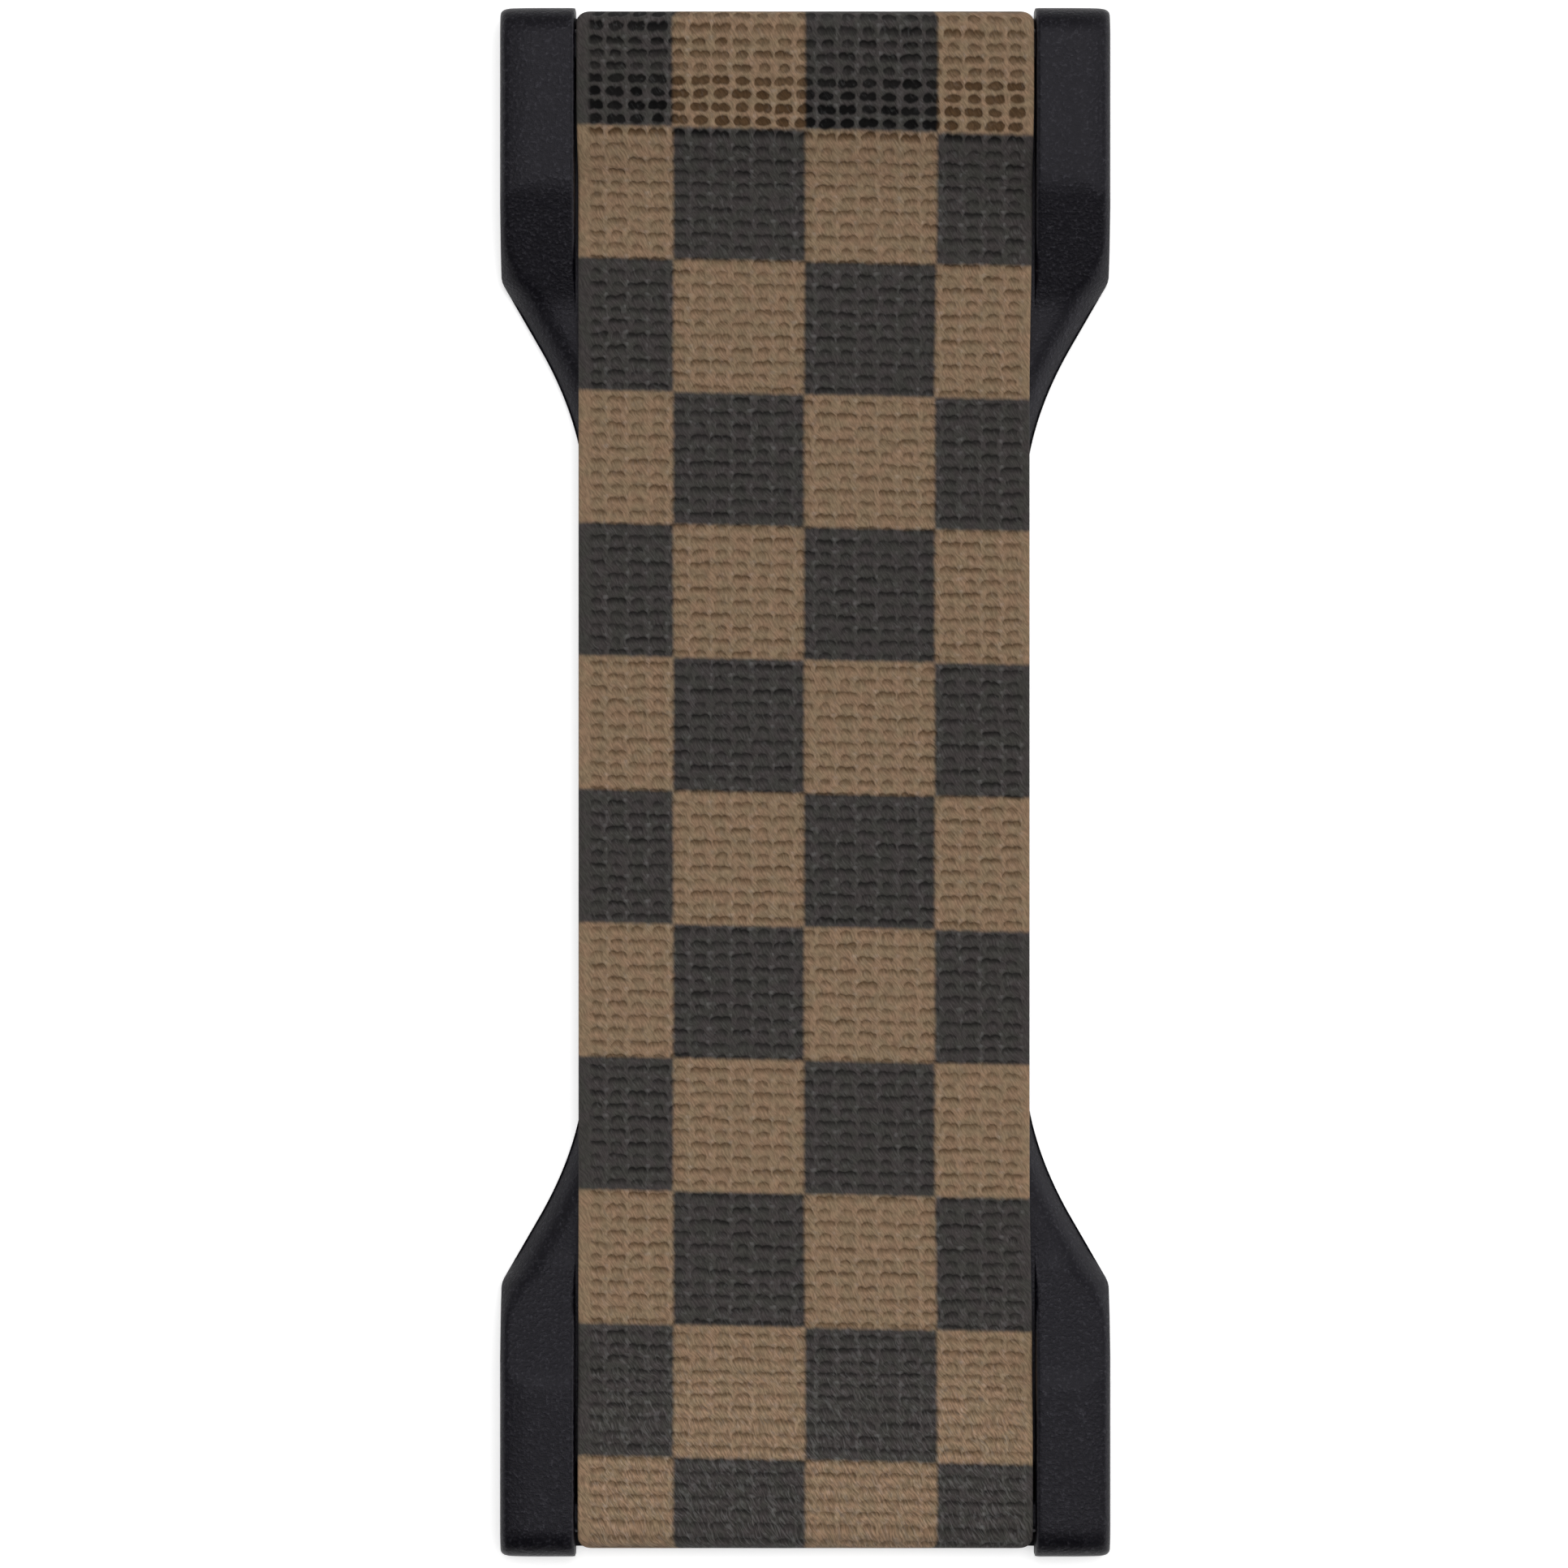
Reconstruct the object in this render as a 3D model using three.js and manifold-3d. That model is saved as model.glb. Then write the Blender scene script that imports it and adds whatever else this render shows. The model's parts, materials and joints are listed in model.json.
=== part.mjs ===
import * as THREE from 'three';
import { mergeVertices, toCreasedNormals } from 'three/addons/utils/BufferGeometryUtils.js';
import Module from 'manifold-3d';

// A stick-on finger strap for the back of a phone, lying on its adhesive side.
// Millimetres: X runs across the strap, Y along it, and Z up from the adhesive's underside.
// The origin is the middle of that underside.

// Moulded base: a thin floor plate with a raised ear at each corner. A ramp runs down from
// each ear to the floor, and the outline flares in to a waist that the strap hides.
const baseLength = 96.6;
const baseWidth = 38.0;
const earWidth = 4.65;
const floorThickness = 1.5;
const planCornerRadius = 0.7;
const earEndRounding = 1.7;
const earEndDrop = 1.6;
const earEdgeRadius = 1.2;
const sideRounded = 0.7;
const earLipRadius = 0.3;
const bottomEdge = 0.2;
const rampStart = 11.4;
const rampLength = 7.3;
const flareStart = 16.9;
const flareCorner = 0.6;
const flareAngle = THREE.MathUtils.degToRad(30);
const flareEdgeRadius = 1.6;
const waistInset = 0.4;
const waistBlend = 10.0;

// Bar at each end that the strap loops round, and the slot behind it
const barWidth = 2.0;
const barRoot = 0.5;
const slotWidth = 2.1;
const slotEdgeRadius = 0.3;

// Woven elastic strap
const strapThickness = 0.95;
const strapSideGap = 0.2;
const strapEndInset = 0.4;
const strapCornerRadius = 0.7;
const selvedgeWidth = 0.6;
const selvedgeThinning = 0.25;
const tailLap = 2.4;
const stepLength = 2.4;
const ribPitch = 0.787;
const ribDepth = 0.13;
const ribShoulder = 0.22;

// Printed check, counted along the strap from its middle
const checkWidth = 8.1;
const checkLength = 8.32;
const checkShift = -0.62;

// Foam tape under the base
const padThickness = 0.5;
const padInset = 0.4;

// Clearances between the strap and what it lies on
const floorGap = 0.03;
const plyGap = 0.06;
const barGap = 0.05;
const underGap = 0.1;
const earProud = 0.11;

// How finely curves are stepped, and how cutters pass what they cut
const roundSteps = 6;
const lipSteps = 3;
const flareSteps = 8;
const nearDouble = 0.02;
const weldDistance = 1e-4;
const cutterReach = 1.0;
const leastWall = 0.02;
const creaseAngle = THREE.MathUtils.degToRad(28);

// Sizes that follow from those above
const halfLength = baseLength / 2;
const halfWidth = baseWidth / 2;
const channelHalf = halfWidth - earWidth;
const strapHalf = channelHalf - strapSideGap;
const waistHalf = strapHalf - waistInset;
const rampEnd = rampStart + rampLength;
const flareSlope = Math.tan(flareAngle);
const waistStart = flareStart + (halfWidth - waistHalf - (flareSlope * waistBlend) / 2) / flareSlope;
const waistEnd = waistStart + waistBlend;

const strapMid = strapThickness / 2;
const floorTop = padThickness + floorThickness;
const lowRun = floorTop + floorGap + strapMid;
const highRun = lowRun + strapThickness + plyGap;
const underRun = padThickness + underGap + strapMid;
const earTop = highRun + strapMid + earProud;
const wrapRadius = (highRun - underRun) / 2;
const wrapHeight = (highRun + underRun) / 2;
const wrapCentre = halfLength - strapEndInset - strapMid - wrapRadius;
const barRadius = wrapRadius - strapMid - barGap;
const barInner = wrapCentre + barRadius - barWidth;
const floorEnd = barInner - slotWidth;
const slotMiddle = (barInner + floorEnd) / 2;
const turnRadius = (lowRun - underRun) / 2;
const tailEnd = floorEnd - tailLap;

// Colours of the moulding, the two print inks and the tape
const plastic = new THREE.MeshStandardMaterial({ color: 0x2c2b2f, roughness: 0.55, metalness: 0 });
const tan = new THREE.MeshStandardMaterial({ color: 0x7a6550, roughness: 0.9, metalness: 0 });
const charcoal = new THREE.MeshStandardMaterial({ color: 0x403a37, roughness: 0.9, metalness: 0 });
const foam = new THREE.MeshStandardMaterial({ color: 0x1c1c1d, roughness: 0.95, metalness: 0 });

// Skins equal rings of points into one closed body, painted by a rule for each face.
// A ring runs anticlockwise as seen with the direction of travel towards the eye.
function loft(rings, paintOf = () => 0, paints = 1) {
  const size = rings[0].length;
  const faces = Array.from({ length: paints }, () => []);
  for (let i = 0; i + 1 < rings.length; i += 1) {
    for (let j = 0; j < size; j += 1) {
      const here = i * size + j;
      const beside = i * size + ((j + 1) % size);
      faces[paintOf(i, j)].push(here, beside, beside + size, here, beside + size, here + size);
    }
  }
  const last = (rings.length - 1) * size;
  for (let j = 1; j + 1 < size; j += 1) {
    faces[0].push(0, j + 1, j, last, last + j, last + j + 1);
  }
  const geometry = new THREE.BufferGeometry().setFromPoints(rings.flat());
  geometry.setIndex(faces.flat());
  let start = 0;
  faces.forEach((list, paint) => {
    geometry.addGroup(start, list.length, paint);
    start += list.length;
  });
  return geometry;
}

// Zero below zero and x above it, with a round corner of the given half length
function softRamp(x, blend) {
  if (x <= -blend) {
    return 0;
  }
  return x >= blend ? x : (x + blend) ** 2 / (4 * blend);
}

// Half the base's width at a distance in from its end: ear, flare, then the hidden waist
function outlineHalfWidth(fromEnd) {
  if (fromEnd < planCornerRadius) {
    return halfWidth - planCornerRadius + Math.sqrt(planCornerRadius ** 2 - (planCornerRadius - fromEnd) ** 2);
  }
  if (fromEnd < waistStart) {
    return halfWidth - flareSlope * softRamp(fromEnd - flareStart, flareCorner);
  }
  const toWaist = Math.max(0, waistEnd - fromEnd);
  return waistHalf + (flareSlope * toWaist ** 2) / (2 * waistBlend);
}

// Height of the base's upper surface: rounded end, ear plateau, then a ramp down to the floor
function topHeight(fromEnd) {
  if (fromEnd < earEndRounding) {
    const fall = 1 - Math.sqrt(1 - (1 - fromEnd / earEndRounding) ** 2);
    return earTop - earEndDrop * fall;
  }
  return earTop - (earTop - floorTop) * THREE.MathUtils.smoothstep(fromEnd, rampStart, rampEnd);
}

// Distances in from the end at which the base's section changes, without near doubles
function baseDistances() {
  const list = [rampStart, flareStart, waistStart, waistEnd];
  for (let k = 0; k <= roundSteps; k += 1) {
    list.push(earEndRounding * (1 - Math.cos((k / roundSteps) * (Math.PI / 2))));
  }
  for (let k = 1; k <= flareSteps; k += 1) {
    list.push(rampStart + (rampLength * k) / flareSteps);
    list.push(waistStart + (waistBlend * k) / flareSteps);
  }
  for (const share of [-1, -0.5, 0.5, 1]) {
    list.push(flareStart + share * flareCorner);
  }
  const sorted = list.filter((d) => d < halfLength).sort((a, b) => a - b);
  return sorted.filter((d, i) => i === 0 || d - sorted[i - 1] > nearDouble);
}

// Places sections made at distances from the end along the whole length, from -Y to +Y
function alongBase(distances, sectionAt) {
  const near = distances.map((d) => sectionAt(d, d - halfLength));
  const far = distances.map((d) => sectionAt(d, halfLength - d)).reverse();
  return loft([...near, ...far]);
}

// One section of the base before it is cut: flat foot, upright side, rounded upper edge
function baseSection(fromEnd, y) {
  const half = outlineHalfWidth(fromEnd);
  const top = topHeight(fromEnd);
  const flare = THREE.MathUtils.smoothstep(fromEnd, rampStart, rampEnd);
  const across = THREE.MathUtils.lerp(earEdgeRadius, flareEdgeRadius, flare);
  const upright = Math.min(earEdgeRadius, (top - padThickness) * sideRounded);
  const side = [[half - bottomEdge, padThickness], [half, padThickness + bottomEdge]];
  for (let k = 0; k <= roundSteps; k += 1) {
    const angle = ((k / roundSteps) * Math.PI) / 2;
    side.push([half - across * (1 - Math.cos(angle)), top - upright * (1 - Math.sin(angle))]);
  }
  const left = side.map(([x, z]) => new THREE.Vector3(-x, y, z));
  const right = side.map(([x, z]) => new THREE.Vector3(x, y, z)).reverse();
  return [...left, ...right];
}

// Section of the channel between two ears, flared where it rounds the ears' inner lips
function channelSection(fromEnd, y) {
  const top = Math.max(topHeight(fromEnd), floorTop + leastWall);
  const lip = Math.min(earLipRadius, (top - floorTop) / 2);
  const side = [[channelHalf, floorTop], [channelHalf, top - lip]];
  for (let k = 1; k <= lipSteps; k += 1) {
    const angle = ((k / lipSteps) * Math.PI) / 2;
    side.push([channelHalf + lip * (1 - Math.cos(angle)), top - lip * (1 - Math.sin(angle))]);
  }
  side.push([channelHalf + lip, earTop + cutterReach]);
  const left = side.map(([x, z]) => new THREE.Vector3(-x, y, z));
  const right = side.map(([x, z]) => new THREE.Vector3(x, y, z)).reverse();
  return [...left, ...right];
}

// Closed solid of the channel at the +Y end, from past that end to the foot of the ramps
function channelCutter() {
  const inside = baseDistances().filter((d) => d < rampEnd + cutterReach);
  const rings = inside.reverse().map((d) => channelSection(d, halfLength - d));
  rings.push(channelSection(0, halfLength + cutterReach));
  return loft(rings);
}

// Extrudes a (y, z) outline across the strap, centred on the middle
function acrossStrap(shape, width) {
  const geometry = new THREE.ExtrudeGeometry(shape, {
    depth: width,
    bevelEnabled: false,
    curveSegments: 2 * roundSteps,
  });
  geometry.translate(0, 0, -width / 2);
  geometry.applyMatrix4(new THREE.Matrix4().set(0, 0, 1, 0, 1, 0, 0, 0, 0, 1, 0, 0, 0, 0, 0, 1));
  return geometry;
}

// What is open right through between the ears at the +Y end, behind and beyond the floor plate
function endOpening() {
  const shape = new THREE.Shape();
  shape.moveTo(floorEnd, padThickness - cutterReach);
  shape.lineTo(halfLength + cutterReach, padThickness - cutterReach);
  shape.lineTo(halfLength + cutterReach, earTop + cutterReach);
  shape.lineTo(floorEnd - slotEdgeRadius, earTop + cutterReach);
  shape.lineTo(floorEnd - slotEdgeRadius, floorTop);
  shape.absarc(floorEnd - slotEdgeRadius, floorTop - slotEdgeRadius, slotEdgeRadius, Math.PI / 2, 0, true);
  return acrossStrap(shape, 2 * channelHalf);
}

// Bar at the +Y end, full round where the strap turns, its ends moulded into the ears
function endBar() {
  const shape = new THREE.Shape();
  shape.moveTo(barInner, wrapHeight - barRadius);
  shape.absarc(barInner + barWidth - barRadius, wrapHeight, barRadius, -Math.PI / 2, Math.PI / 2, false);
  shape.lineTo(barInner, wrapHeight + barRadius);
  return acrossStrap(shape, 2 * (channelHalf + barRoot));
}

// Turns a closed geometry into a solid for cutting and joining, and a solid back again
const wasm = await Module();
wasm.setup();

function toSolid(geometry) {
  const bare = geometry.clone();
  bare.deleteAttribute('normal');
  bare.deleteAttribute('uv');
  const merged = mergeVertices(bare, weldDistance);
  return new wasm.Manifold(new wasm.Mesh({
    numProp: 3,
    vertProperties: new Float32Array(merged.attributes.position.array),
    triVerts: new Uint32Array(merged.index.array),
  }));
}

function toGeometry(solid) {
  const mesh = solid.getMesh();
  const geometry = new THREE.BufferGeometry();
  geometry.setAttribute('position', new THREE.BufferAttribute(mesh.vertProperties, 3));
  geometry.setIndex(new THREE.BufferAttribute(mesh.triVerts, 1));
  return toCreasedNormals(geometry, creaseAngle);
}

// Half turn about Z, for the other end of the part
function otherEnd(geometry) {
  return geometry.clone().rotateZ(Math.PI);
}

// Moulded base in one piece: lofted dog-bone, two channels, two end openings and two bars
function makeBase() {
  let solid = toSolid(alongBase(baseDistances(), baseSection));
  for (const cutter of [channelCutter(), endOpening()]) {
    solid = solid.subtract(toSolid(cutter)).subtract(toSolid(otherEnd(cutter)));
  }
  const bar = endBar();
  solid = solid.add(toSolid(bar)).add(toSolid(otherEnd(bar)));
  return new THREE.Mesh(toGeometry(solid), plastic);
}

// Middle line of the strap's +Y half, in (y, z). What shows: along the floor, up over the
// strap's own tail, out to the bar and round it.
const stepEnd = tailEnd - stepLength;
const stepMiddle = tailEnd - stepLength / 2;
const shownRuns = [
  new THREE.LineCurve(new THREE.Vector2(0, lowRun), new THREE.Vector2(stepEnd, lowRun)),
  new THREE.CubicBezierCurve(
    new THREE.Vector2(stepEnd, lowRun),
    new THREE.Vector2(stepMiddle, lowRun),
    new THREE.Vector2(stepMiddle, highRun),
    new THREE.Vector2(tailEnd, highRun),
  ),
  new THREE.LineCurve(new THREE.Vector2(tailEnd, highRun), new THREE.Vector2(wrapCentre, highRun)),
  new THREE.EllipseCurve(wrapCentre, wrapHeight, wrapRadius, wrapRadius, Math.PI / 2, -Math.PI / 2, true),
];

// What is hidden: back beneath the bar, up through the slot, and the tail on the floor
const turnOut = slotMiddle + turnRadius;
const turnIn = slotMiddle - turnRadius;
const turnHeight = underRun + turnRadius;
const hiddenRuns = [
  new THREE.LineCurve(new THREE.Vector2(wrapCentre, underRun), new THREE.Vector2(turnOut, underRun)),
  new THREE.EllipseCurve(turnOut, turnHeight, turnRadius, turnRadius, -Math.PI / 2, -Math.PI, true),
  new THREE.EllipseCurve(turnIn, turnHeight, turnRadius, turnRadius, 0, Math.PI / 2, false),
  new THREE.LineCurve(new THREE.Vector2(turnIn, lowRun), new THREE.Vector2(tailEnd, lowRun)),
];

const path = new THREE.CurvePath();
path.curves.push(...shownRuns, ...hiddenRuns);
const runEnds = path.getCurveLengths();
const wrapEnd = runEnds[shownRuns.length - 1];
const strapEnd = runEnds[runEnds.length - 1];

// Point and outward normal of the middle line at a signed distance along it from the middle
function strapFrame(along) {
  const share = Math.abs(along) / strapEnd;
  const point = path.getPoint(share);
  const tangent = path.getTangent(share);
  const side = Math.sign(along) || 1;
  return { y: side * point.x, z: point.y, normalY: -side * tangent.y, normalZ: tangent.x };
}

// How far the printed face is sunk: a groove between two cross ribs, none on the hidden plies
function ribSink(along) {
  if (Math.abs(along) > wrapEnd) {
    return 0;
  }
  const phase = Math.abs(along / ribPitch) % 1;
  const fromGroove = Math.min(phase, 1 - phase);
  return ribDepth * Math.max(0, 1 - fromGroove / ribShoulder);
}

// Half the strap's width where its printed face is at y: the loops' corners are rounded
function strapHalfAt(y) {
  const intoCorner = Math.abs(y) - (halfLength - strapEndInset - strapCornerRadius);
  if (intoCorner <= 0) {
    return strapHalf;
  }
  const reach = Math.min(intoCorner, strapCornerRadius);
  return strapHalf - strapCornerRadius + Math.sqrt(strapCornerRadius ** 2 - reach ** 2);
}

// One ring of the strap: seven points over the printed face and two under the plain one
function strapRing(along) {
  const { y, z, normalY, normalZ } = strapFrame(along);
  const face = strapMid - ribSink(along);
  const half = strapHalfAt(y + normalY * strapMid);
  const edge = strapMid - selvedgeThinning;
  const outline = [[-half, edge], [selvedgeWidth - half, face]];
  for (const column of [-1, 0, 1]) {
    outline.push([column * checkWidth, face]);
  }
  outline.push([half - selvedgeWidth, face], [half, edge], [half, -strapMid], [-half, -strapMid]);
  return outline.map(([x, height]) => new THREE.Vector3(x, y + normalY * height, z + normalZ * height));
}

// Distances along the strap where a ring is needed: ribs, print edges, turns and both ends
function strapDistances() {
  const half = [wrapEnd, strapEnd];
  for (let rib = 0; rib * ribPitch < wrapEnd; rib += 1) {
    for (const phase of [0, ribShoulder, 1 - ribShoulder]) {
      half.push((rib + phase) * ribPitch);
    }
  }
  hiddenRuns.forEach((run, i) => {
    const start = runEnds[shownRuns.length + i - 1];
    const steps = run.isEllipseCurve ? roundSteps : 1;
    for (let k = 0; k < steps; k += 1) {
      half.push(start + (run.getLength() * k) / steps);
    }
  });
  const list = half.filter((s) => s <= strapEnd).flatMap((s) => [s, -s]);
  const rows = Math.floor(wrapEnd / checkLength);
  for (let row = -rows; row <= rows; row += 1) {
    list.push(checkShift + row * checkLength);
  }
  list.sort((a, b) => a - b);
  return list.filter((s, i) => i === 0 || s - list[i - 1] > nearDouble);
}

// The strap, skinned along its path, with its printed face in two inks
function makeStrap() {
  const distances = strapDistances();
  const columnOfFace = [0, 0, 1, 2, 3, 3];
  const paintOf = (i, j) => {
    if (j >= columnOfFace.length) {
      return 1;
    }
    const middle = (distances[i] + distances[i + 1]) / 2;
    const row = Math.floor((middle - checkShift) / checkLength);
    return Math.abs(row + columnOfFace[j]) % 2;
  };
  const geometry = loft(distances.map(strapRing), paintOf, 2);
  geometry.computeVertexNormals();
  return new THREE.Mesh(geometry, [tan, charcoal]);
}

// Foam tape, die-cut to the base's outline and set in from its edge
function makePad() {
  const side = baseDistances().filter((d) => d > 0).map((d) => {
    const fromEnd = Math.max(d, padInset);
    return [outlineHalfWidth(d) - padInset, halfLength - fromEnd];
  });
  const quarter = side.filter(([, y], i) => i === 0 || y < side[i - 1][1]);
  const half = [...quarter, ...quarter.map(([x, y]) => [x, -y]).reverse()];
  const outline = [...half, ...half.map(([x, y]) => [-x, y]).reverse()];
  const shape = new THREE.Shape(outline.map(([x, y]) => new THREE.Vector2(x, y)));
  const geometry = new THREE.ExtrudeGeometry(shape, { depth: padThickness, bevelEnabled: false });
  return new THREE.Mesh(geometry, foam);
}

const base = makeBase();
base.name = 'base_frame';

const strap = makeStrap();
strap.name = 'elastic_strap';

const pad = makePad();
pad.name = 'adhesive_pad';

const fingerStrap = new THREE.Group();
fingerStrap.name = 'finger_strap';
fingerStrap.add(base, strap, pad);

export default fingerStrap;
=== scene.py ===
# A stick-on finger strap for the back of a phone, lying flat and seen from straight above.
# Everything is in metres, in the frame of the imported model: X across the strap, Y along it, Z up.
import json
import math

import bmesh
import bpy
import numpy as np
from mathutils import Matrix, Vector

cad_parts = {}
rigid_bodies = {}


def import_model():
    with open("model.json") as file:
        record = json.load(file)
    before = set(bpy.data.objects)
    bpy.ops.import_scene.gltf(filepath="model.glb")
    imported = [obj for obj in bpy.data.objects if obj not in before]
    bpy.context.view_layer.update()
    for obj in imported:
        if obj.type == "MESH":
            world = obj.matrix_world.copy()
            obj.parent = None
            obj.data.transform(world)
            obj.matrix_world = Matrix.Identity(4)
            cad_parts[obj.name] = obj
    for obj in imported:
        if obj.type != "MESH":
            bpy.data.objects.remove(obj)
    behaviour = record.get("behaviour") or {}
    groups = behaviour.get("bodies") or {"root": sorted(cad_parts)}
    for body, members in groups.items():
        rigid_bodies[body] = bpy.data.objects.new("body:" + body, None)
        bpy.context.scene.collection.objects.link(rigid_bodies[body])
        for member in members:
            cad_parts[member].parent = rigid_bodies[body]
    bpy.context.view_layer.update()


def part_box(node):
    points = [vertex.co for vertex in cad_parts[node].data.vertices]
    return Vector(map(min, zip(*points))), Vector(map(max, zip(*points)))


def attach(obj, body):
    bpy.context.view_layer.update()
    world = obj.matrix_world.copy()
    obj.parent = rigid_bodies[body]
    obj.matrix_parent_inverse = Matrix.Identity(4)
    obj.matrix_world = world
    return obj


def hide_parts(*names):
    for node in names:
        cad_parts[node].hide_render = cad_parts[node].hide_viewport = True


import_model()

scene = bpy.context.scene
scene.view_settings.view_transform = "Standard"

MM = 0.001

# Camera. It looks straight down from a good way off, so the ears' outer walls hardly show.
# The picture is square and takes in a little more than the strap's length.
photo_width = 97.78 * MM
photo_height_above_table = 2.7 * MM
photo_aim_x = -1.32 * MM
photo_aim_y = -0.11 * MM
camera_data = bpy.data.cameras.new("camera")
camera_data.lens = 135
camera_data.sensor_width = 36
camera_data.clip_start = 0.01
camera = bpy.data.objects.new("camera", camera_data)
scene.collection.objects.link(camera)
camera_distance = photo_width * camera_data.lens / camera_data.sensor_width
camera.location = (photo_aim_x, photo_aim_y, photo_height_above_table + camera_distance)
scene.camera = camera

# Table. A plain white sheet, which the camera sees as white with the strap's soft shadow on it.
# It is lifted toward white for the camera only, and more so where the soft box no longer reaches.
table_half = 1.5
table_white = (0.82, 0.82, 0.82, 1)
near_lift = 0.45
far_lift = 1.0
lift_starts = 0.15
lift_ends = 0.6
table_mesh = bpy.data.meshes.new("table")
table_corners = [(-1, -1), (1, -1), (1, 1), (-1, 1)]
table_mesh.from_pydata([(x * table_half, y * table_half, 0) for x, y in table_corners], [], [(0, 1, 2, 3)])
table = bpy.data.objects.new("table", table_mesh)
scene.collection.objects.link(table)
table_paint = bpy.data.materials.new("white_table")
table_paint.use_nodes = True
paint_nodes = table_paint.node_tree.nodes
paint_links = table_paint.node_tree.links
paint = paint_nodes["Principled BSDF"]
paint.inputs["Base Color"].default_value = table_white
paint.inputs["Roughness"].default_value = 0.9
paint.inputs["Specular IOR Level"].default_value = 0.1
paint.inputs["Emission Color"].default_value = (1, 1, 1, 1)
seen = paint_nodes.new("ShaderNodeLightPath")
lift = paint_nodes.new("ShaderNodeMath")
lift.operation = "MULTIPLY"
table_place = paint_nodes.new("ShaderNodeTexCoord")
from_strap = paint_nodes.new("ShaderNodeVectorMath")
from_strap.operation = "LENGTH"
lift_by_distance = paint_nodes.new("ShaderNodeMapRange")
lift_by_distance.inputs["From Min"].default_value = lift_starts
lift_by_distance.inputs["From Max"].default_value = lift_ends
lift_by_distance.inputs["To Min"].default_value = near_lift
lift_by_distance.inputs["To Max"].default_value = far_lift
paint_links.new(table_place.outputs["Object"], from_strap.inputs[0])
paint_links.new(from_strap.outputs["Value"], lift_by_distance.inputs["Value"])
paint_links.new(lift_by_distance.outputs["Result"], lift.inputs[1])
paint_links.new(seen.outputs["Is Camera Ray"], lift.inputs[0])
paint_links.new(lift.outputs[0], paint.inputs["Emission Strength"])
table_mesh.materials.append(table_paint)

# Light. A soft box almost straight above gives most of the light, and the room does the rest: a
# small pale ceiling, and walls that brighten toward the table and are palest right and left.
soft_box_size = 0.3
soft_box_place = (0.03, 0.10, 0.6)
soft_box_power = 1.6
soft_box_data = bpy.data.lights.new("soft_box", "AREA")
soft_box_data.shape = "SQUARE"
soft_box_data.size = soft_box_size
soft_box_data.energy = soft_box_power
soft_box = bpy.data.objects.new("soft_box", soft_box_data)
scene.collection.objects.link(soft_box)
soft_box.location = soft_box_place
soft_box.rotation_euler = (-math.atan2(soft_box_place[1], soft_box_place[2]), 0, 0)
soft_box.visible_glossy = False

# The walls' own level, what the room adds toward one direction and toward both sides, and the
# power by which they fade upward. A ceiling panel is given by the cosines at its edge and at its
# full middle, measured from the direction of the ceiling, and by its level
wall_level = 0.22
wall_lean = (0.65, 0.25, 0.0)
wall_sides = 2.15
wall_falling = 1.7
ceiling_toward = (0.08, 0.18, 0.98)
ceiling_panels = {"small": (0.93, 1.0, 1.85), "wide": (0.58, 0.97, 0.7)}
room = bpy.data.worlds.new("room")
scene.world = room
room.use_nodes = True
room_nodes = room.node_tree.nodes
room_links = room.node_tree.links
room_light = room_nodes["Background"]
room_light.inputs["Color"].default_value = (1, 1, 1, 1)
room_direction = room_nodes.new("ShaderNodeTexCoord").outputs["Generated"]


def room_value(kind, operation, first, second):
    """Adds one math or vector math node to the room and returns its number."""
    node = room_nodes.new(kind)
    node.operation = operation
    for socket, value in zip(node.inputs, (first, second)):
        if isinstance(value, bpy.types.NodeSocket):
            room_links.new(value, socket)
        else:
            socket.default_value = value
    return node.outputs["Value"]


wall = room_value("ShaderNodeVectorMath", "DOT_PRODUCT", room_direction, wall_lean)
wall = room_value("ShaderNodeMath", "ADD", wall, wall_level)
sideways = room_value("ShaderNodeVectorMath", "DOT_PRODUCT", room_direction, (1, 0, 0))
sides = room_value("ShaderNodeMath", "MULTIPLY", sideways, sideways)
sides = room_value("ShaderNodeMath", "MULTIPLY", sides, wall_sides)
wall = room_value("ShaderNodeMath", "ADD", wall, sides)
wall = room_value("ShaderNodeMath", "MAXIMUM", wall, 0.0)
upward = room_value("ShaderNodeVectorMath", "DOT_PRODUCT", room_direction, (0, 0, 1))
low_down = room_value("ShaderNodeMath", "SUBTRACT", 1.0, upward)
low_down = room_value("ShaderNodeMath", "MAXIMUM", low_down, 0.0)
low_down = room_value("ShaderNodeMath", "POWER", low_down, wall_falling)
wall = room_value("ShaderNodeMath", "MULTIPLY", wall, low_down)
toward_ceiling = room_value("ShaderNodeVectorMath", "DOT_PRODUCT", room_direction, ceiling_toward)
room_total = wall
for panel_edge, panel_middle, panel_level in ceiling_panels.values():
    panel = room_nodes.new("ShaderNodeMapRange")
    panel.interpolation_type = "SMOOTHSTEP"
    room_links.new(toward_ceiling, panel.inputs["Value"])
    panel.inputs["From Min"].default_value = panel_edge
    panel.inputs["From Max"].default_value = panel_middle
    panel.inputs["To Max"].default_value = panel_level
    room_total = room_value("ShaderNodeMath", "ADD", room_total, panel.outputs["Result"])
room_links.new(room_total, room_light.inputs["Strength"])
room_backdrop = room_nodes.new("ShaderNodeBackground")
room_backdrop.inputs["Color"].default_value = (1, 1, 1, 1)
room_backdrop.inputs["Strength"].default_value = 1.0
room_rays = room_nodes.new("ShaderNodeLightPath")
room_mix = room_nodes.new("ShaderNodeMixShader")
room_links.new(room_rays.outputs["Is Camera Ray"], room_mix.inputs[0])
room_links.new(room_light.outputs[0], room_mix.inputs[1])
room_links.new(room_backdrop.outputs[0], room_mix.inputs[2])
room_links.new(room_mix.outputs[0], room_nodes["World Output"].inputs["Surface"])


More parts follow.
